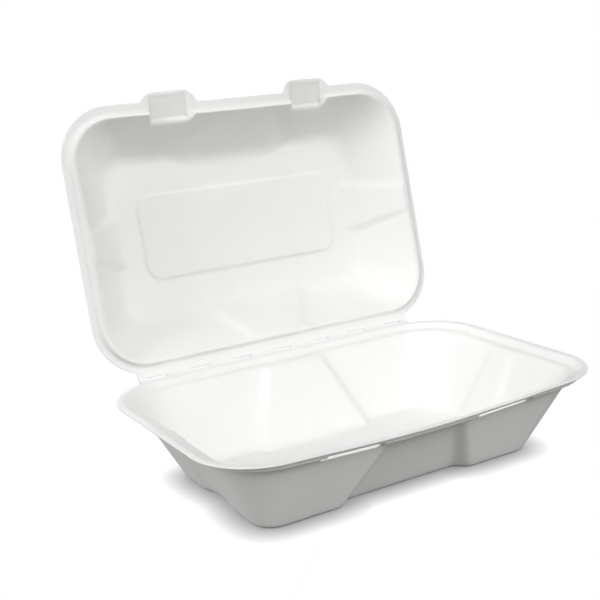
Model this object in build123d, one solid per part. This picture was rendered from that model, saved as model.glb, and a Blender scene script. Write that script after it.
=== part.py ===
"""Takeaway box moulded from pulp in one piece: a tray and a lid, joined by a slitted fold, lid open.

X runs along the fold, the front is at -Y, Z is up and the tray stands on Z = 0. Lengths in mm.
"""
import os

from build123d import *

# Tray: rim outline, height and sheet
rim_length = 230.0
rim_depth = 145.2
rim_corner = 33.0
tray_height = 45.1
tray_sheet = 1.4

# Tray: flat bottom, moved back a little from the middle of the rim
base_length = 165.5
base_depth = 90.6
base_shift = 1.6
base_corner = 11.0
base_round = 2.0

# Tray rim: a flat flange, a step down from it and a ledge inside the step
tray_flange_end = 5.0
tray_flange_long = 3.2
tray_step = 3.4
tray_ledge_end = 4.9
tray_ledge_long = 3.5

# Lid: rim outline, inside depth, top panel and sheet
lid_length = 221.4
lid_depth = 146.9
lid_corner = 30.0
lid_height = 26.0
lid_sheet = 0.7
panel_length = 160.0
panel_depth = 92.0
panel_corner = 14.0
panel_round = 5.0

# Lid rim: a flat flange and a ridge that goes down inside the tray's step
lid_flange_end = 3.0
lid_flange_front = 5.4
lid_flange_back = 3.7
ridge_clearance = 0.5
ridge_end = 4.5
ridge_front = 2.6
ridge_back = 3.0

# Both rims dip and draw in along the front
front_dip = 4.3
front_bow = 2.7
bow_flat = 10.0
bow_ramp = 5.0
dip_reach = 105.0
rim_gap = 0.1

# The middle of each wall is set in: depth, half of the flat, ramp at each side, draw-in of the whole side
tray_long_low = (6.0, 32.0, 10.5, 0)
tray_long_high = (2.5, 14.0, 8.0, 0)
tray_end_low = (2.6, 7.0, 12.0, 0)
tray_end_high = (1.0, 4.0, 8.0, 0)
lid_long_low = (2.0, 14.0, 7.0, 0)
lid_front_low = (1.6, 14.0, 7.0, 4.2)
lid_long_high = (5.0, 31.0, 9.0, 0)
lid_front_high = (4.0, 29.0, 13.0, 0)
lid_end_low = (1.5, 5.0, 5.0, 0)
lid_end_high = (4.5, 11.0, 8.0, 0)

# Fold between tray and lid
fold_reach = 3.25
strip_length = 180.0
slit_count = 7
slit_pitch = 26.4
slit_length = 12.0
slit_width = 1.9
lid_angle = 102.5

# Slots in the tray's front step and the lugs of the lid above them, turned by an angle to follow the dip
catch_spacing = 89.4
catch_turn = 7.8
slot_length = 33.4
slot_height = 1.8
slot_drop = 5.9
lug_width = 33.0
lug_tip_width = 24.5
lug_reach = 4.6
lug_round = 6.0
lug_lip = 2.6
lug_face_width = 21.6
lug_mouth_width = 28.4
lug_depth = 9.8
lug_drop = 2.2
lug_ramp = 22.0
lug_ramp_rise = 9.2

# Raised field on the lid's panel
field_length = 126.6
field_depth = 49.6
field_corner = 9.0
field_height = 1.0

# Overrun of every cut
over = 40.0

# A rounded bottom edge in three steps: height and draw-in as shares of its radius
round_shares = ((0.0, 0.58), (0.13, 0.2), (0.42, 0.0))
half_share = 0.5
side_shares = (-0.5, 0.5)
diagonal_share = 0.5 ** 0.5


def eased(start, end, along):
    """Edge from start to end that leaves and arrives along a direction."""
    bend = along * ((end - start).dot(along) * half_share)
    return Edge.make_bezier(start, start + bend, end - bend, end)


def inset_side(start, end, inward, inset):
    """Edges of one side from start to end, drawn in towards its middle and set in further there."""
    depth, flat, ramp, draw = inset
    along = (end - start).normalized()
    middle = (start + end) * half_share
    points = [start]
    for place, inset_by in ((-flat - ramp, 0), (-flat, depth), (flat, depth), (flat + ramp, 0)):
        points.append(middle + along * place + inward * (draw + inset_by))
    points.append(end)
    return [eased(near, far, along) for near, far in zip(points, points[1:])]


def outline(z, half_length, front, back, corner, insets):
    """Closed wire of a rounded rectangle at height z, from front to back, with its four sides set in."""
    right = half_length - corner
    low = corner - front
    high = back - corner
    front_inset, end_inset, back_inset = insets
    corners = ((right, low), (right, high), (-right, high), (-right, low))
    turns = ((1, -1), (1, 1), (-1, 1), (-1, -1))
    sides = (
        ((-right, -front), (right, -front), (0, 1), front_inset),
        ((half_length, low), (half_length, high), (-1, 0), end_inset),
        ((right, back), (-right, back), (0, -1), back_inset),
        ((-half_length, high), (-half_length, low), (1, 0), end_inset),
    )
    edges = []
    reach = corner * diagonal_share
    for index, (start, end, inward, inset) in enumerate(sides):
        following = sides[(index + 1) % len(sides)][0]
        centre = corners[index]
        turn = turns[index]
        bulge = Vector(centre[0] + turn[0] * reach, centre[1] + turn[1] * reach, z)
        edges += inset_side(Vector(*start, z), Vector(*end, z), Vector(*inward), inset)
        edges.append(Edge.make_three_point_arc(Vector(*end, z), bulge, Vector(*following, z)))
    return Wire(edges)


def blend(low, high, share):
    """Value, or tuple of values, part of the way from low to high."""
    if isinstance(low, tuple):
        return tuple(blend(a, b, share) for a, b in zip(low, high))
    return low + (high - low) * share


def wall_loft(levels, low, high, grow):
    """Solid through outlines between two sections; each level gives height, share and draw-in."""
    wires = []
    for z, share, draw_in in levels:
        sizes = blend(low, high, share)
        half_length, front, back, corner = [size + grow - draw_in for size in sizes[:-1]]
        wires.append(outline(z, half_length, front, back, corner, sizes[-1]))
    return Solid.make_loft(wires, ruled=True)


def rim_prism(half_length, front, back, corner, bottom, height):
    """Upright prism of a rim outline whose front is drawn in towards its middle."""
    bowed = (0, bow_flat, bow_ramp, front_bow)
    plain = (0, bow_flat, bow_ramp, 0)
    wire = outline(bottom, half_length, front, back, corner, (bowed, plain, plain))
    return extrude(Face(wire), amount=height, dir=(0, 0, 1))


def dipped(bottom, top):
    """Slab between two heights, wider than any rim, that dips along the front as the rims do."""
    wide = rim_length

    def edge_at(z):
        bend = dip_reach * half_share
        left = Vector(-dip_reach, 0, z)
        deep = Vector(0, 0, z - front_dip)
        right = Vector(dip_reach, 0, z)
        turn = Vector(bend, 0, 0)
        return [
            Edge.make_line(Vector(-wide, 0, z), left),
            Edge.make_bezier(left, left + turn, deep - turn, deep),
            Edge.make_bezier(deep, deep + turn, right - turn, right),
            Edge.make_line(right, Vector(wide, 0, z)),
        ]

    ends = [Edge.make_line(Vector(x, 0, bottom), Vector(x, 0, top)) for x in (-wide, wide)]
    front = extrude(Face(Wire(edge_at(bottom) + edge_at(top) + ends)), amount=wide, dir=(0, -1, 0))
    from_front = (Align.CENTER, Align.MIN, Align.MIN)
    back = Pos(0, 0, bottom) * Box(wide + wide, wide, top - bottom, align=from_front)
    return front + back


def catch_place(side, y, z):
    """Place of the catch on one side, turned to follow the dip."""
    return Pos(side * catch_spacing, y, z) * Rot(0, -side * catch_turn, 0)


def slits(axis_y, axis_z):
    """Row of slits along the fold."""
    first = -slit_pitch * (slit_count - 1) * half_share
    cut = Box(slit_length, slit_width, over)
    return [Pos(first + slit_pitch * index, axis_y, axis_z) * cut for index in range(slit_count)]


def strip(axis_y, bottom, sheet, inner_y):
    """Half of the fold's strip, from inside the rim to the fold."""
    return Pos(0, inner_y, bottom) * Box(
        strip_length, axis_y - inner_y, sheet, align=(Align.CENTER, Align.MIN, Align.MIN)
    )


def tray_section(low):
    """Half length, front, back, corner and insets of the tray wall's outside, at its foot or its ledge."""
    if low:
        insets = (tray_long_low, tray_end_low, tray_long_low)
        front = base_depth * half_share - base_shift
        back = base_depth * half_share + base_shift
        return (base_length * half_share, front, back, base_corner, insets)
    insets = (tray_long_high, tray_end_high, tray_long_high)
    in_x = tray_flange_end + tray_ledge_end
    in_y = tray_flange_long + tray_ledge_long
    half_depth = rim_depth * half_share - in_y
    return (rim_length * half_share - in_x, half_depth, half_depth, rim_corner - in_y, insets)


def tray_wall(floor_z, grow):
    """Solid of the tray's wall from its floor up past the ledge."""
    ledge_z = tray_height - tray_step
    top_z = tray_height + tray_step
    levels = [(floor_z + base_round * up, (floor_z + base_round * up) / ledge_z, base_round * draw)
              for up, draw in round_shares]
    levels.append((top_z, top_z / ledge_z, 0))
    return wall_loft(levels, tray_section(True), tray_section(False), grow)


def tray_rim(inset_end, inset_long):
    """Prism of the tray's rim outline, drawn in by its insets."""
    return rim_prism(
        rim_length * half_share - inset_end,
        rim_depth * half_share - inset_long,
        rim_depth * half_share - inset_long,
        rim_corner - inset_long,
        tray_height - over * half_share,
        over,
    )


def make_tray(axis_y):
    """Tray: floor and walls, ledge, step and flange, half of the fold's strip, slots at the front."""
    ledge_z = tray_height - tray_step
    below_ledge = dipped(-over, ledge_z)
    cavity = tray_wall(tray_sheet, -tray_sheet - tray_sheet * half_share * half_share) & below_ledge
    well = tray_rim(tray_flange_end, tray_flange_long)
    collar = tray_rim(tray_flange_end - tray_sheet, tray_flange_long - tray_sheet)
    body = tray_wall(0, 0) & below_ledge
    body += collar & dipped(ledge_z - tray_sheet, tray_height)
    body += tray_rim(0, 0) & dipped(tray_height - tray_sheet, tray_height)
    body += strip(axis_y, tray_height - tray_sheet, tray_sheet, rim_depth * half_share - tray_flange_long)
    body -= well & dipped(ledge_z, tray_height + over)
    body -= cavity
    for cut in slits(axis_y, tray_height):
        body -= cut
    slot = extrude(Plane.XZ * SlotOverall(slot_length, slot_height), amount=over * half_share, both=True)
    for side in side_shares:
        body -= catch_place(side, -rim_depth * half_share, tray_height - slot_drop) * slot
    return body


def lid_section(low):
    """Half length, front, back, corner and insets of the lid wall's inside, at its ridge or its panel."""
    if low:
        insets = (lid_front_low, lid_end_low, lid_long_low)
        in_x = lid_flange_end + ridge_end
        half_depth = lid_depth * half_share
        front = half_depth - lid_flange_front - ridge_front
        back = half_depth - lid_flange_back - ridge_back
        return (lid_length * half_share - in_x, front, back, lid_corner - in_x, insets)
    insets = (lid_front_high, lid_end_high, lid_long_high)
    half_depth = panel_depth * half_share
    return (panel_length * half_share, half_depth, half_depth, panel_corner, insets)


def lid_wall(panel_z, grow):
    """Solid of the lid's wall from below its ridge up to its panel."""
    ridge = tray_step - ridge_clearance
    low_z = -ridge - front_dip - ridge_clearance
    span = lid_height + ridge
    levels = [(low_z, (low_z + ridge) / span, 0)]
    for up, draw in reversed(round_shares):
        z = panel_z - panel_round * up
        levels.append((z, (z + ridge) / span, panel_round * draw))
    return wall_loft(levels, lid_section(True), lid_section(False), grow)


def lid_rim(inset_end, inset_front, inset_back, inset_corner):
    """Prism of the lid's rim outline, drawn in by its insets."""
    half_depth = lid_depth * half_share
    return rim_prism(
        lid_length * half_share - inset_end,
        half_depth - inset_front,
        half_depth - inset_back,
        lid_corner - inset_corner,
        -over * half_share,
        over,
    )


def lug_tab(x):
    """Prism of the rounded tab that a lug adds to the lid's flange."""
    inner_y = lid_flange_front - lid_depth * half_share
    tip_y = -lid_depth * half_share - lug_reach
    wide = lug_width * half_share
    narrow = lug_tip_width * half_share
    shape = Polyline((-wide, inner_y), (-wide, -lid_depth * half_share), (-narrow, tip_y), (narrow, tip_y),
                     (wide, -lid_depth * half_share), (wide, inner_y), close=True)
    face = make_face(shape)
    corners = face.vertices().filter_by(lambda v: v.Y < inner_y)
    return Pos(x, 0, -over * half_share) * extrude(fillet(corners, lug_round), amount=over, dir=(0, 0, 1))


def lug_channel(side, grow):
    """Sloping channel pressed up into a lug, wider at its mouth; grow adds the sheet around it."""
    face_half = lug_face_width * half_share + grow
    mouth_half = lug_mouth_width * half_share + grow
    start_y = lug_lip - lid_depth * half_share - lug_reach - grow
    shape = Polyline((-mouth_half, -lug_depth), (mouth_half, -lug_depth), (face_half, grow),
                     (-face_half, grow), close=True)
    slope = Vector(0, lug_ramp, lug_ramp_rise)
    section = catch_place(side, start_y, -lug_drop) * (Plane.XZ * make_face(shape))
    return extrude(section, amount=slope.length, dir=slope)


def make_lid():
    """Lid, closed, its flange on Z = 0 and its rim centred: panel, walls, ridge, flange, lugs and strip."""
    ridge = tray_step - ridge_clearance
    half_depth = lid_depth * half_share
    above = lid_height + over
    ridge_prism = lid_rim(lid_flange_end, lid_flange_front, lid_flange_back, lid_flange_end)
    groove_in = lid_flange_end + lid_sheet
    groove_prism = lid_rim(groove_in, lid_flange_front + lid_sheet, lid_flange_back + lid_sheet, groove_in)
    over_ridge = dipped(-ridge, above)
    over_flange = dipped(0, above)
    flange = lid_rim(0, 0, 0, 0)
    for side in side_shares:
        flange += lug_tab(side * catch_spacing)
    body = flange & dipped(0, lid_sheet)
    body += ridge_prism & dipped(-ridge, lid_sheet)
    body -= groove_prism & dipped(lid_sheet - ridge, above)
    body += lid_wall(lid_height + lid_sheet, lid_sheet + lid_sheet * half_share * half_share) & over_ridge
    body += strip(half_depth + fold_reach, 0, lid_sheet, half_depth - lid_flange_back)
    for side in side_shares:
        cover = lug_channel(side, lid_sheet)
        body += cover & over_flange
        body += cover & ridge_prism & over_ridge
    body -= lid_wall(lid_height, 0) & over_ridge
    for side in side_shares:
        body -= lug_channel(side, 0)
    field = RectangleRounded(field_length, field_depth, field_corner)
    body += Pos(0, 0, lid_height - field_height) * extrude(field, amount=field_height + lid_sheet)
    both = lid_sheet + lid_sheet
    inner_field = RectangleRounded(field_length - both, field_depth - both, field_corner - lid_sheet)
    body -= Pos(0, 0, lid_height - field_height + lid_sheet) * extrude(inner_field, amount=over)
    for cut in slits(half_depth + fold_reach, 0):
        body -= cut
    return body


fold_y = rim_depth * half_share + fold_reach
fold_z = tray_height + rim_gap * half_share
tray = make_tray(fold_y)
closed_lid = Pos(0, fold_y - fold_reach - lid_depth * half_share, tray_height + rim_gap) * make_lid()
lid = closed_lid.rotate(Axis((0, fold_y, fold_z), (1, 0, 0)), -lid_angle)

os.makedirs("parts", exist_ok=True)
export_step(tray, "parts/tray.step")
export_step(lid, "parts/lid.step")
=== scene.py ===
"""Takeaway box of pressed pulp, seen from its front left: tray, lid and the slitted fold between them."""

import math

import bmesh
import bpy
import numpy as np
from mathutils import Matrix, Vector


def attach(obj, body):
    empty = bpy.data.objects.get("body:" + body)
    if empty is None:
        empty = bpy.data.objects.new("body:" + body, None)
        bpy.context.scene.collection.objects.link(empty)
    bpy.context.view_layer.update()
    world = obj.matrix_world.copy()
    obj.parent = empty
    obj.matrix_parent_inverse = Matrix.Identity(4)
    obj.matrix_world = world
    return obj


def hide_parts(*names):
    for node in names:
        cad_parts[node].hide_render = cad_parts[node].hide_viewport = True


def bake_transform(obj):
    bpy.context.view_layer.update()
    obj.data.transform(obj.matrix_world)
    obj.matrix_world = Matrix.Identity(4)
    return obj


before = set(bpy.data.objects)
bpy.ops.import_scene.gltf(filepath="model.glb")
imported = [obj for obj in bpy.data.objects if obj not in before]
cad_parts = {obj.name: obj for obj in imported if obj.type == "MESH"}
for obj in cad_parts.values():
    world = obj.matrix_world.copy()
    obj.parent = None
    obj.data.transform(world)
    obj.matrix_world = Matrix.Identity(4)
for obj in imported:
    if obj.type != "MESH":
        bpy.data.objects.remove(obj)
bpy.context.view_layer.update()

MM = 0.001

# Sizes in mm: the source's, but for slots, lugs, field and the set-in of the lid's long walls
rim_length, rim_depth, rim_corner = 230.0, 145.2, 33.0
tray_height, tray_sheet = 45.1, 1.4
base_length, base_depth, base_shift, base_corner = 165.5, 90.6, 1.6, 11.0
tray_flange_end, tray_flange_long, tray_step = 5.0, 3.2, 3.4
tray_ledge_end, tray_ledge_long = 4.9, 3.5
lid_length, lid_depth, lid_corner = 221.4, 146.9, 30.0
lid_height, lid_sheet = 26.0, 0.7
panel_length, panel_depth, panel_corner = 160.0, 92.0, 14.0
lid_flange_end, lid_flange_front, lid_flange_back = 3.0, 5.4, 3.7
lid_ridge, ridge_end, ridge_front, ridge_back = 2.9, 4.5, 2.6, 3.0
front_dip, front_bow, dip_reach, rim_gap = 4.3, 2.7, 105.0, 0.1
bowed = (0, 10.0, 5.0, front_bow)
plain = (0, 10.0, 5.0, 0)
tray_long_low = (6.0, 32.0, 10.5, 0)
tray_long_high = (2.5, 14.0, 8.0, 0)
tray_end_low = (2.6, 7.0, 12.0, 0)
tray_end_high = (1.0, 4.0, 8.0, 0)
lid_long_low = (1.6, 12.0, 9.0, 0)
lid_front_low = (0.7, 8.0, 13.0, 4.2)
lid_long_high = (4.4, 29.0, 12.0, 0)
lid_front_high = (3.6, 26.0, 19.0, 0)
lid_end_low = (1.5, 5.0, 5.0, 0)
lid_end_high = (4.5, 11.0, 8.0, 0)
fold_reach, strip_length, slit_count, slit_pitch = 3.25, 180.0, 7, 26.4
slit_length, slit_width, lid_angle = 12.0, 1.9, 102.5
catch_spacing, catch_turn, slot_length, slot_height, slot_drop = 89.4, 7.8, 33.8, 0.9, 6.2
lug_width, lug_tip_width, lug_reach, lug_lip = 34.0, 18.0, 4.6, 2.6
lug_face_width, lug_mouth_width, lug_depth, lug_step = 21.6, 28.4, 9.8, 0.42
lug_ramp, lug_ramp_rise, lug_end, lug_bevel = 22.0, 7.4, 16.4, 5.6
field_length, field_depth, field_corner, field_height = 126.6, 49.6, 9.0, 1.8
slot_middle, slot_slope, slot_swing = -68.0, -20.0, 7.0
fold_y = rim_depth / 2 + fold_reach
fold_z = tray_height + rim_gap / 2

# Points along the five pieces of each side, and along a corner
front_counts = (90, 12, 14, 12, 90)
end_counts = (18, 10, 8, 10, 18)
back_counts = (30, 14, 26, 14, 30)
corner_count = 22


def eased(start, end, along, count):
    """Points from start towards end on a curve that leaves and arrives along a direction."""
    t = (np.arange(count) / count)[:, None]
    bend = along * ((end - start) @ along * 0.5)
    near, far = start + bend, end - bend
    return start * (1 - t) ** 3 + near * 3 * t * (1 - t) ** 2 + far * 3 * t * t * (1 - t) + end * t ** 3


def ring(half_length, front, back, corner, insets):
    """Closed rounded rectangle whose sides are set in at their middles, as an array of X and Y."""
    right, low, high = half_length - corner, corner - front, back - corner
    sides = (
        ((-right, -front), (right, -front), (0, 1), insets[0], (right, low), -90, front_counts),
        ((half_length, low), (half_length, high), (-1, 0), insets[1], (right, high), 0, end_counts),
        ((right, back), (-right, back), (0, -1), insets[2], (-right, high), 90, back_counts),
        ((-half_length, high), (-half_length, low), (1, 0), insets[1], (-right, low), 180, end_counts),
    )
    rows = []
    for start, end, inward, (depth, flat, ramp, draw), centre, turn, counts in sides:
        start, end, inward, centre = (np.array(v, float) for v in (start, end, inward, centre))
        along = (end - start) / np.linalg.norm(end - start)
        middle = (start + end) / 2
        points = [start]
        for place, inset in ((-flat - ramp, 0), (-flat, depth), (flat, depth), (flat + ramp, 0)):
            points.append(middle + along * place + inward * (draw + inset))
        points.append(end)
        for near, far, count in zip(points, points[1:], counts):
            rows.append(eased(near, far, along, count))
        angle = np.radians(turn + 90 * np.arange(corner_count) / corner_count)
        rows.append(centre + corner * np.stack([np.cos(angle), np.sin(angle)], 1))
    return np.concatenate(rows)


dip_t = np.linspace(0, 1, 400)
dip_x = dip_reach * (1 - 1.5 * dip_t * (1 - dip_t) - dip_t ** 3)
dip_z = front_dip * (3 * dip_t ** 2 - 2 * dip_t ** 3)


def dip(xy):
    """How far the rims dip at each point: along the front only."""
    depth = np.interp(np.abs(xy[:, 0]), dip_x[::-1], dip_z[::-1], right=0)
    return np.where(xy[:, 1] < 0, depth, 0)


def rim_ring(half_length, front, back, corner, z):
    """Rim outline, bowed and dipped along the front, at height z."""
    xy = ring(half_length, front, back, corner, (bowed, plain, plain))
    return np.column_stack([xy, z - dip(xy)])


def tray_rim(inset_end, inset_long, z):
    half_depth = rim_depth / 2 - inset_long
    return rim_ring(rim_length / 2 - inset_end, half_depth, half_depth, rim_corner - inset_long, z)


def lid_rim(inset_end, inset_front, inset_back, z):
    half_depth = lid_depth / 2
    corner = lid_corner - inset_end
    return rim_ring(lid_length / 2 - inset_end, half_depth - inset_front, half_depth - inset_back, corner, z)


def tray_wall(z, grow, dipping=True):
    """Ring of the tray's wall at height z, following the dip where it meets the ledge."""
    ledge = tray_height - tray_step
    low = ring(base_length / 2 + grow, base_depth / 2 - base_shift + grow, base_depth / 2 + base_shift + grow,
               base_corner + grow, (tray_long_low, tray_end_low, tray_long_low))
    in_x, in_y = tray_flange_end + tray_ledge_end, tray_flange_long + tray_ledge_long
    half_depth = rim_depth / 2 - in_y + grow
    high = ring(rim_length / 2 - in_x + grow, half_depth, half_depth, rim_corner - in_y + grow,
                (tray_long_high, tray_end_high, tray_long_high))
    heights = z - (dip(high) if dipping else 0) + np.zeros(len(high))
    return np.column_stack([low + (high - low) * (heights / ledge)[:, None], heights])


def lid_wall(z, grow, dipping=True):
    """Ring of the lid's wall at height z above its flange, lid closed."""
    in_x, half_depth = lid_flange_end + ridge_end, lid_depth / 2
    low = ring(lid_length / 2 - in_x + grow, half_depth - lid_flange_front - ridge_front + grow,
               half_depth - lid_flange_back - ridge_back + grow, lid_corner - in_x + grow,
               (lid_front_low, lid_end_low, lid_long_low))
    high = ring(panel_length / 2 + grow, panel_depth / 2 + grow, panel_depth / 2 + grow, panel_corner + grow,
                (lid_front_high, lid_end_high, lid_long_high))
    heights = z - (dip(low) if dipping else 0) + np.zeros(len(high))
    share = (heights + lid_ridge) / (lid_height + lid_ridge)
    return np.column_stack([low + (high - low) * share[:, None], heights])


def scaled(points, share, z):
    """Ring shrunk towards the middle of the box, at height z."""
    return np.column_stack([points[:, :2] * share, np.full(len(points), z)])


def plain_ring(length, depth, corner, z):
    """Rounded rectangle with straight sides at height z."""
    xy = ring(length / 2, depth / 2, depth / 2, corner, ((0, 14.0, 7.0, 0), plain, (0, 14.0, 7.0, 0)))
    return np.column_stack([xy, np.full(len(xy), z)])


def sweep(controls):
    """Rings through control rings, corners rounded: a control is a ring, round, steps and rings after."""
    rings = [controls[0][0]]
    ends = [controls[0][0]]
    starts = []
    rounds = []
    for (before, *_), (here, size, steps, _), (after, *_) in zip(controls, controls[1:], controls[2:]):
        pair = []
        for other in (before, after):
            way = other - here
            length = np.linalg.norm(way, axis=1, keepdims=True)
            pair.append(here + way * np.minimum(size / np.maximum(length, 1e-6), 0.46))
        starts.append(pair[0])
        ends.append(pair[1])
        t = np.linspace(0, 1, steps + 1)[:, None, None]
        rounds.append(pair[0] * (1 - t) ** 2 + here * 2 * t * (1 - t) + pair[1] * t * t)
    starts.append(controls[-1][0])
    for index, (*_, extra) in enumerate(controls[:-1]):
        for step in range(1, extra + 1):
            share = step / (extra + 1)
            rings.append(ends[index] + (starts[index] - ends[index]) * share)
        rings.extend(rounds[index] if index < len(rounds) else [controls[-1][0]])
    return rings


def shell(name, rings, to_row):
    """Closed mesh through the rings, its first and last ring closed with a fan."""
    count = len(rings[0])
    points = np.concatenate([np.concatenate(rings), rings[0].mean(0)[None], rings[-1].mean(0)[None]])
    points = to_row(points) * MM
    faces = []
    for level in range(len(rings) - 1):
        for index in range(count):
            along = (index + 1) % count
            faces.append((level * count + index, level * count + along,
                          (level + 1) * count + along, (level + 1) * count + index))
    first, last = len(points) - 2, len(points) - 1
    base = (len(rings) - 1) * count
    for index in range(count):
        along = (index + 1) % count
        faces.append((first, along, index))
        faces.append((last, base + index, base + along))
    mesh = bpy.data.meshes.new(name)
    mesh.from_pydata(points.tolist(), [], faces)
    work = bmesh.new()
    work.from_mesh(mesh)
    bmesh.ops.remove_doubles(work, verts=work.verts, dist=0.00002)
    bmesh.ops.recalc_face_normals(work, faces=work.faces)
    work.to_mesh(mesh)
    work.free()
    piece = bpy.data.objects.new(name, mesh)
    bpy.context.scene.collection.objects.link(piece)
    return piece


def cut(piece, tools):
    """Cuts tool meshes out of a piece and removes them."""
    for tool in tools:
        modifier = piece.modifiers.new("cut", "BOOLEAN")
        modifier.operation = "DIFFERENCE"
        modifier.solver = "EXACT"
        modifier.object = tool
    bpy.context.view_layer.update()
    mesh = bpy.data.meshes.new_from_object(piece.evaluated_get(bpy.context.evaluated_depsgraph_get()))
    piece.modifiers.clear()
    piece.data = mesh
    for tool in tools:
        bpy.data.objects.remove(tool)


def smooth(piece, angle):
    """Smooth shading, with edges sharper than the angle kept."""
    for face in piece.data.polygons:
        face.use_smooth = True
    piece.data.set_sharp_from_angle(angle=math.radians(angle))


def stadium(name, length, height, reach, place):
    """Prism with round ends at a place, reaching out and in from it and wider on the inside."""
    work = bmesh.new()
    turn = np.linspace(-90, 90, 9)
    round_end, straight = height / 2, (length - height) / 2
    outline = []
    for side, angles in ((1, turn), (-1, turn + 180)):
        for angle in np.radians(angles):
            outline.append((side * straight + round_end * math.cos(angle), round_end * math.sin(angle)))
    near, far = ([work.verts.new(place @ Vector((x, y, z * flare)) * MM) for x, z in outline]
                 for y, flare in zip(reach, (1, 3)))
    work.faces.new(near)
    work.faces.new(far[::-1])
    for index in range(len(outline)):
        following = (index + 1) % len(outline)
        work.faces.new((near[index], far[index], far[following], near[following]))
    bmesh.ops.recalc_face_normals(work, faces=work.faces)
    mesh = bpy.data.meshes.new(name)
    work.to_mesh(mesh)
    work.free()
    piece = bpy.data.objects.new(name, mesh)
    bpy.context.scene.collection.objects.link(piece)
    return piece


def make_tray():
    """Tray: floor, wall, ledge, step and flange on the inside, and the same way back on the outside."""
    ledge = tray_height - tray_step
    inner = -tray_sheet * 1.25
    floor = tray_wall(tray_sheet, inner, False)
    foot = tray_wall(0, 0, False)
    edge = 0.8

    def rim(inset, z):
        return tray_rim(tray_flange_end + inset, tray_flange_long + inset, z)

    controls = [
        (scaled(floor, 0.04, tray_sheet), 0, 0, 5),
        (floor, 5.0, 8, 9),
        (tray_wall(ledge, inner), 3.0, 6, 1),
        (rim(0.9, ledge), 1.7, 5, 1),
        (rim(-0.5, tray_height), 1.7, 5, 1),
        (tray_rim(0, 0, tray_height), 0.35, 3, 1),
        (tray_rim(0, 0, tray_height - edge), 0.3, 3, 1),
        (rim(-1.2, tray_height - 1.1), 0.8, 3, 1),
        (rim(0.1, ledge - edge), 0.7, 4, 1),
        (tray_wall(ledge - edge, 0), 1.6, 4, 9),
        (foot, 2.4, 6, 5),
        (scaled(foot, 0.04, 0), 0, 0, 0),
    ]
    piece = shell("pulp_tray", sweep(controls), lambda points: points)
    tools = []
    for side in (-0.5, 0.5):
        middle = Vector((side * catch_spacing, slot_middle, tray_height - slot_drop))
        place = Matrix.Translation(middle)
        for angle, axis in ((-side * slot_swing, "Z"), (-side * catch_turn, "Y"), (slot_slope, "X")):
            place = place @ Matrix.Rotation(math.radians(angle), 4, axis)
        tools.append(stadium("slot", slot_length, slot_height, (-2.2, 9.0), place))
    cut(piece, tools)
    smooth(piece, 40)
    return piece


def lug_edge(points):
    """Flange edge with the rounded tabs of the lugs added along the front."""
    points = points.copy()
    away = np.abs(np.abs(points[:, 0]) - catch_spacing / 2)
    reach = np.clip((lug_width / 2 - away) / ((lug_width - lug_tip_width) / 2), 0, 1)
    reach = 1 - (1 - reach) ** 2.2
    tip = -lid_depth / 2 - lug_reach
    y = points[:, 1]
    points[:, 1] = np.where(y < 0, y + (np.minimum(tip, y) - y) * reach, y)
    return points


def lug_lift(points, grow):
    """Rings of the lid pushed up into the sloping channels of the lugs."""
    x, y, z = points.T
    away = np.abs(np.abs(x) - catch_spacing / 2)
    start = lug_lip - lid_depth / 2 - lug_reach - grow
    level = grow - dip(points)
    roof = level + lug_step + (y - start) * lug_ramp_rise / lug_ramp
    side = lug_depth / ((lug_mouth_width - lug_face_width) / 2)
    walls = roof - np.maximum(away - lug_face_width / 2 - grow, 0) * side
    channel = np.minimum(walls, level + (y - start) * 1.5)
    reach = (y < 0) & (y > start - 1) & (y < start + lug_ramp) & (away < lug_mouth_width)
    lift = (channel - z + np.sqrt((z - channel) ** 2 + 0.8)) / 2
    fade = np.clip((start + 2 * grow + lug_end - y) / lug_bevel, 0, 1)
    fade = fade * fade * (3 - 2 * fade)
    return np.column_stack([x, y, z + np.where(reach, lift * fade, 0)])


def lid_to_row(points):
    """Lid points, closed and with the flange on Z = 0, to the open lid in the row frame."""
    points = points + np.array([0, rim_depth / 2 - lid_depth / 2, tray_height + rim_gap])
    angle = math.radians(-lid_angle)
    y, z = points[:, 1] - fold_y, points[:, 2] - fold_z
    turned_y = y * math.cos(angle) - z * math.sin(angle) + fold_y
    turned_z = y * math.sin(angle) + z * math.cos(angle) + fold_z
    return np.column_stack([points[:, 0], turned_y, turned_z])


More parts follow.
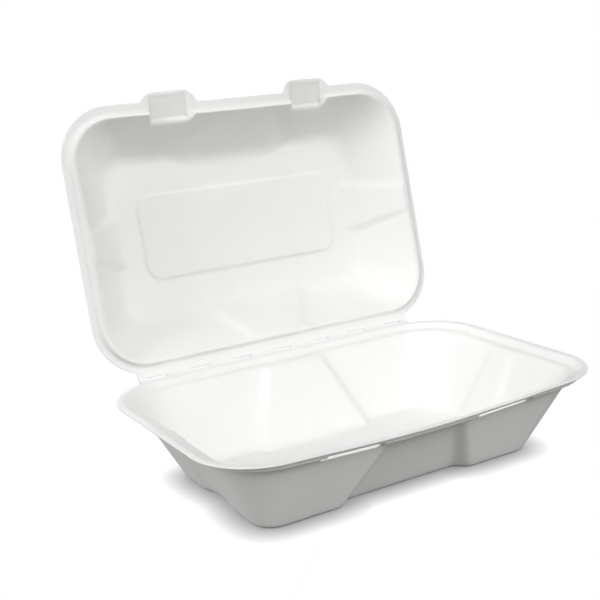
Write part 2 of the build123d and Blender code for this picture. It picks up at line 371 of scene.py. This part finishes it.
def make_lid():
    """Lid: panel with its raised field, wall, ridge and flange inside, and the same way back outside."""
    outer = lid_sheet * 1.25
    panel = lid_wall(lid_height, 0, False)
    roof = lid_wall(lid_height + lid_sheet, outer, False)
    top = lid_height - field_height

    def rim(inset, z):
        return lid_rim(lid_flange_end + inset, lid_flange_front + inset, lid_flange_back + inset, z)

    def field(wider, z):
        return plain_ring(field_length + wider, field_depth + wider, field_corner + wider / 2, z)

    inside = [
        (scaled(panel, 0.04, top), 0, 0, 2),
        (field(-2.0, top), 1.6, 3, 1),
        (field(0.6, lid_height), 1.6, 3, 2),
        (panel, 6.5, 8, 14),
        (lid_wall(-lid_ridge, 0), 1.4, 4, 1),
        (rim(1.5, -lid_ridge), 1.6, 5, 2),
        (rim(0, 0), 1.7, 5, 9),
        (lug_edge(lid_rim(0, 0, 0, 0)), 0.35, 2, 0),
    ]
    outside = [
        (lug_edge(lid_rim(0, 0, 0, lid_sheet)), 0.35, 2, 9),
        (rim(lid_sheet, lid_sheet), 0.9, 3, 2),
        (rim(lid_sheet + 1.2, lid_sheet - lid_ridge), 0.7, 3, 1),
        (lid_wall(lid_sheet - lid_ridge, outer), 0.7, 3, 14),
        (roof, 6.5, 8, 2),
        (field(-0.6, lid_height + lid_sheet), 1.6, 3, 1),
        (field(-3.2, top + lid_sheet), 1.6, 3, 2),
        (scaled(roof, 0.04, top + lid_sheet), 0, 0, 0),
    ]
    rings = sweep(inside + outside)
    split = 1 + sum(extra for *_, extra in inside[:-1]) + sum(steps + 1 for _, _, steps, _ in inside[1:])
    rings = [lug_lift(points, 0 if index < split else lid_sheet) for index, points in enumerate(rings)]
    piece = shell("pulp_lid", rings, lid_to_row)
    smooth(piece, 40)
    return piece


def make_fold():
    """Strip across the fold, with its slits, bent from the tray's flange up to the lid's."""
    half = strip_length / 2
    first = -slit_pitch * (slit_count - 1) / 2
    columns = [-half]
    for index in range(slit_count):
        middle = first + slit_pitch * index
        columns += [middle - slit_length / 2, middle + slit_length / 2]
    columns.append(half)
    xs = []
    for near, far in zip(columns, columns[1:]):
        steps = max(2, round((far - near) / 2))
        xs += [near + (far - near) * step / steps for step in range(steps)]
    xs.append(half)
    reach = fold_reach + 1.2
    bend = 2.6
    edge = slit_width / 2
    vs = [-reach, -fold_reach, -2.3, -1.6, -edge, -0.5, 0, 0.5, edge, 1.6, 2.3, fold_reach, reach]
    up = math.radians(180 - lid_angle)
    work = bmesh.new()
    grid = {}
    for i, x in enumerate(xs):
        for j, v in enumerate(vs):
            turn = (v + bend) / (2 * bend)
            if abs(v) < bend:
                back, rise = -bend * (1 - turn) ** 2, bend * turn ** 2
            else:
                back, rise = min(v, 0), max(v, 0)
            turn = min(max(turn, 0), 1)
            way = Vector((0, back + rise * math.cos(up), rise * math.sin(up)))
            normal = Vector((0, math.sin(up * turn), -math.cos(up * turn)))
            grid[i, j] = work.verts.new((Vector((x, fold_y, fold_z)) + way + normal * 0.45) * MM)
    slit_columns = set()
    for i, (near, far) in enumerate(zip(xs, xs[1:])):
        offset = ((near + far) / 2 - first) / slit_pitch
        if -0.49 < offset < slit_count - 0.51 and abs(offset - round(offset)) * slit_pitch < slit_length / 2:
            slit_columns.add(i)
    for i in range(len(xs) - 1):
        for j in range(len(vs) - 1):
            if i in slit_columns and abs(vs[j] + vs[j + 1]) / 2 < edge:
                continue
            work.faces.new((grid[i, j], grid[i + 1, j], grid[i + 1, j + 1], grid[i, j + 1]))
    loose = [vert for vert in work.verts if not vert.link_faces]
    bmesh.ops.delete(work, geom=loose, context="VERTS")
    mesh = bpy.data.meshes.new("pulp_fold")
    work.to_mesh(mesh)
    work.free()
    piece = bpy.data.objects.new("pulp_fold", mesh)
    bpy.context.scene.collection.objects.link(piece)
    thick = piece.modifiers.new("thick", "SOLIDIFY")
    thick.thickness = 0.9 * MM
    thick.offset = 0
    bpy.context.view_layer.update()
    mesh = bpy.data.meshes.new_from_object(piece.evaluated_get(bpy.context.evaluated_depsgraph_get()))
    piece.modifiers.clear()
    piece.data = mesh
    smooth(piece, 50)
    return piece


def node(tree, kind, place, **values):
    """Shader node with input values set by name."""
    made = tree.nodes.new(kind)
    made.location = place
    for name, value in values.items():
        made.inputs[name.replace("_", " ")].default_value = value
    return made


def pulp_material():
    """White pressed pulp: matted fibres in relief, mottling, a few straw coloured specks, and painted shade:
    an ambient occlusion node darkens the base colour in creases and narrow gaps.
    """
    material = bpy.data.materials.new("white_pulp")
    material.use_nodes = True
    tree = material.node_tree
    link = tree.links.new
    shader = tree.nodes["Principled BSDF"]
    shader.inputs["Specular IOR Level"].default_value = 0.25
    place = tree.nodes.new("ShaderNodeTexCoord")
    clouds = node(tree, "ShaderNodeTexNoise", (-900, 300), Scale=45.0, Detail=3.0, Roughness=0.5)
    fibres = node(tree, "ShaderNodeTexNoise", (-900, 0), Scale=900.0, Detail=4.0, Roughness=0.65,
                  Distortion=1.6)
    specks = node(tree, "ShaderNodeTexNoise", (-900, -300), Scale=420.0, Detail=2.0, Roughness=0.6,
                  Distortion=2.5)
    for texture in (clouds, fibres, specks):
        link(place.outputs["Object"], texture.inputs["Vector"])
    tone = tree.nodes.new("ShaderNodeValToRGB")
    tone.color_ramp.elements[0].position = 0.3
    tone.color_ramp.elements[0].color = (0.905, 0.901, 0.89, 1)
    tone.color_ramp.elements[1].position = 0.7
    tone.color_ramp.elements[1].color = (0.918, 0.915, 0.906, 1)
    link(clouds.outputs["Fac"], tone.inputs["Fac"])
    few = tree.nodes.new("ShaderNodeValToRGB")
    few.color_ramp.elements[0].position = 0.68
    few.color_ramp.elements[0].color = (0, 0, 0, 1)
    few.color_ramp.elements[1].position = 0.8
    few.color_ramp.elements[1].color = (0.5, 0.5, 0.5, 1)
    link(specks.outputs["Fac"], few.inputs["Fac"])
    mix = tree.nodes.new("ShaderNodeMixRGB")
    mix.inputs["Color2"].default_value = (0.70, 0.66, 0.57, 1)
    link(few.outputs["Color"], mix.inputs["Fac"])
    link(tone.outputs["Color"], mix.inputs["Color1"])
    # Painted shade: ambient occlusion within 2.2 mm multiplies the base colour down to 0.56 in creases, slits
    # and where the tray meets the floor.
    painted_crease_shade = node(tree, "ShaderNodeAmbientOcclusion", (-600, 500), Distance=0.0022)
    depth = node(tree, "ShaderNodeMapRange", (-400, 500), To_Min=0.56, To_Max=1.0)
    with_painted_shade = tree.nodes.new("ShaderNodeMixRGB")
    with_painted_shade.blend_type = "MULTIPLY"
    with_painted_shade.inputs["Fac"].default_value = 1
    link(painted_crease_shade.outputs["AO"], depth.inputs["Value"])
    link(mix.outputs["Color"], with_painted_shade.inputs["Color1"])
    link(depth.outputs["Result"], with_painted_shade.inputs["Color2"])
    link(with_painted_shade.outputs["Color"], shader.inputs["Base Color"])
    rough = tree.nodes.new("ShaderNodeMapRange")
    rough.inputs["To Min"].default_value = 0.72
    rough.inputs["To Max"].default_value = 0.92
    link(fibres.outputs["Fac"], rough.inputs["Value"])
    link(rough.outputs["Result"], shader.inputs["Roughness"])
    bump = node(tree, "ShaderNodeBump", (-300, -300), Strength=0.35, Distance=0.00025)
    link(fibres.outputs["Fac"], bump.inputs["Height"])
    link(bump.outputs["Normal"], shader.inputs["Normal"])
    return material


def add_sun(name, heading, height, spread, strength):
    """Soft light from a heading, counted from the front towards the left, and a height, in degrees."""
    light = bpy.data.lights.new(name, "SUN")
    light.energy = strength
    light.angle = math.radians(spread)
    holder = bpy.data.objects.new(name, light)
    side, up = math.radians(heading), math.radians(height)
    towards = Vector((-math.sin(side) * math.cos(up), -math.cos(side) * math.cos(up), math.sin(up)))
    holder.rotation_euler = (-towards).to_track_quat("-Z", "Y").to_euler()
    bpy.context.scene.collection.objects.link(holder)


def floor_material():
    """Pale floor: white with a soft contact shadow where it is seen, and a dimmer glow on the object."""
    material = bpy.data.materials.new("floor_white")
    material.use_nodes = True
    tree = material.node_tree
    tree.nodes.remove(tree.nodes["Principled BSDF"])
    path = tree.nodes.new("ShaderNodeLightPath")
    mix = tree.nodes.new("ShaderNodeMixShader")
    for socket, color, spread, dark, bright in ((1, (1, 0.985, 0.94, 1), 0.005, 0.03, 0.19),
                                                (2, (1, 1, 1, 1), 0.0125, 0.19, 1.0)):
        near = node(tree, "ShaderNodeAmbientOcclusion", (-600, -300 * socket), Distance=spread)
        shade = node(tree, "ShaderNodeMapRange", (-400, -300 * socket), To_Min=dark, To_Max=bright)
        glow = node(tree, "ShaderNodeEmission", (-200, -300 * socket), Color=color)
        tree.links.new(near.outputs["AO"], shade.inputs["Value"])
        tree.links.new(shade.outputs["Result"], glow.inputs["Strength"])
        tree.links.new(glow.outputs["Emission"], mix.inputs[socket])
    tree.links.new(path.outputs["Is Camera Ray"], mix.inputs["Fac"])
    tree.links.new(mix.outputs["Shader"], tree.nodes["Material Output"].inputs["Surface"])
    return material


def add_stage():
    """Pale floor, a ring of soft lights, strongest from the front, and a white world behind the floor."""
    work = bmesh.new()
    work.faces.new([work.verts.new((x, y, -0.0002)) for x, y in ((-40, -40), (40, -40), (40, 40), (-40, 40))])
    mesh = bpy.data.meshes.new("floor")
    work.to_mesh(mesh)
    work.free()
    floor = bpy.data.objects.new("floor", mesh)
    bpy.context.scene.collection.objects.link(floor)
    mesh.materials.append(floor_material())
    add_sun("key", 0, 38, 30, 1.6)
    add_sun("front_left", 40, 35, 30, 0.16)
    add_sun("left", 80, 35, 30, 0.57)
    add_sun("left_low", 80, 15, 30, 0.75)
    add_sun("right_low", -45, 15, 30, 0.46)
    add_sun("back_left", 130, 17, 30, 0.47)
    add_sun("top", 180, 75, 30, 0.53)
    add_sun("back", 180, 12, 20, 1.1)
    world = bpy.data.worlds.new("studio")
    world.use_nodes = True
    tree = world.node_tree
    backdrop = tree.nodes["Background"]
    backdrop.inputs["Color"].default_value = (1, 1, 1, 1)
    fill = tree.nodes.new("ShaderNodeBackground")
    fill.inputs["Strength"].default_value = 0.049
    path = tree.nodes.new("ShaderNodeLightPath")
    mix = tree.nodes.new("ShaderNodeMixShader")
    tree.links.new(path.outputs["Is Camera Ray"], mix.inputs["Fac"])
    tree.links.new(fill.outputs["Background"], mix.inputs[1])
    tree.links.new(backdrop.outputs["Background"], mix.inputs[2])
    tree.links.new(mix.outputs["Shader"], tree.nodes["World Output"].inputs["Surface"])
    bpy.context.scene.world = world
    bpy.context.scene.view_settings.view_transform = "Standard"


def add_camera():
    """Camera at the photograph's place, from a fit of the rims, fold and slits."""
    heading, tilt, roll = math.radians(30.506), math.radians(-14.065), math.radians(-3.416)
    forward = Vector((math.sin(heading) * math.cos(tilt), math.cos(heading) * math.cos(tilt), math.sin(tilt)))
    level = Vector((math.cos(heading), -math.sin(heading), 0))
    right = level * math.cos(roll) + level.cross(forward) * math.sin(roll)
    up = right.cross(forward)
    turn = Matrix((right, up, -forward)).transposed()
    data = bpy.data.cameras.new("camera")
    data.sensor_width = 36.0
    data.lens = 65.088
    data.clip_start = 0.01
    camera = bpy.data.objects.new("camera", data)
    camera.matrix_world = Matrix.Translation((-0.29776, -0.45407, 0.22645)) @ turn.to_4x4()
    bpy.context.scene.collection.objects.link(camera)
    bpy.context.scene.camera = camera


pulp = pulp_material()
tray = make_tray()
lid = make_lid()
fold = make_fold()
for piece in (tray, lid, fold):
    piece.data.materials.clear()
    piece.data.materials.append(pulp)
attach(tray, "tray")
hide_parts("tray")
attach(lid, "lid")
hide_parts("lid")
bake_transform(fold)
add_stage()
add_camera()
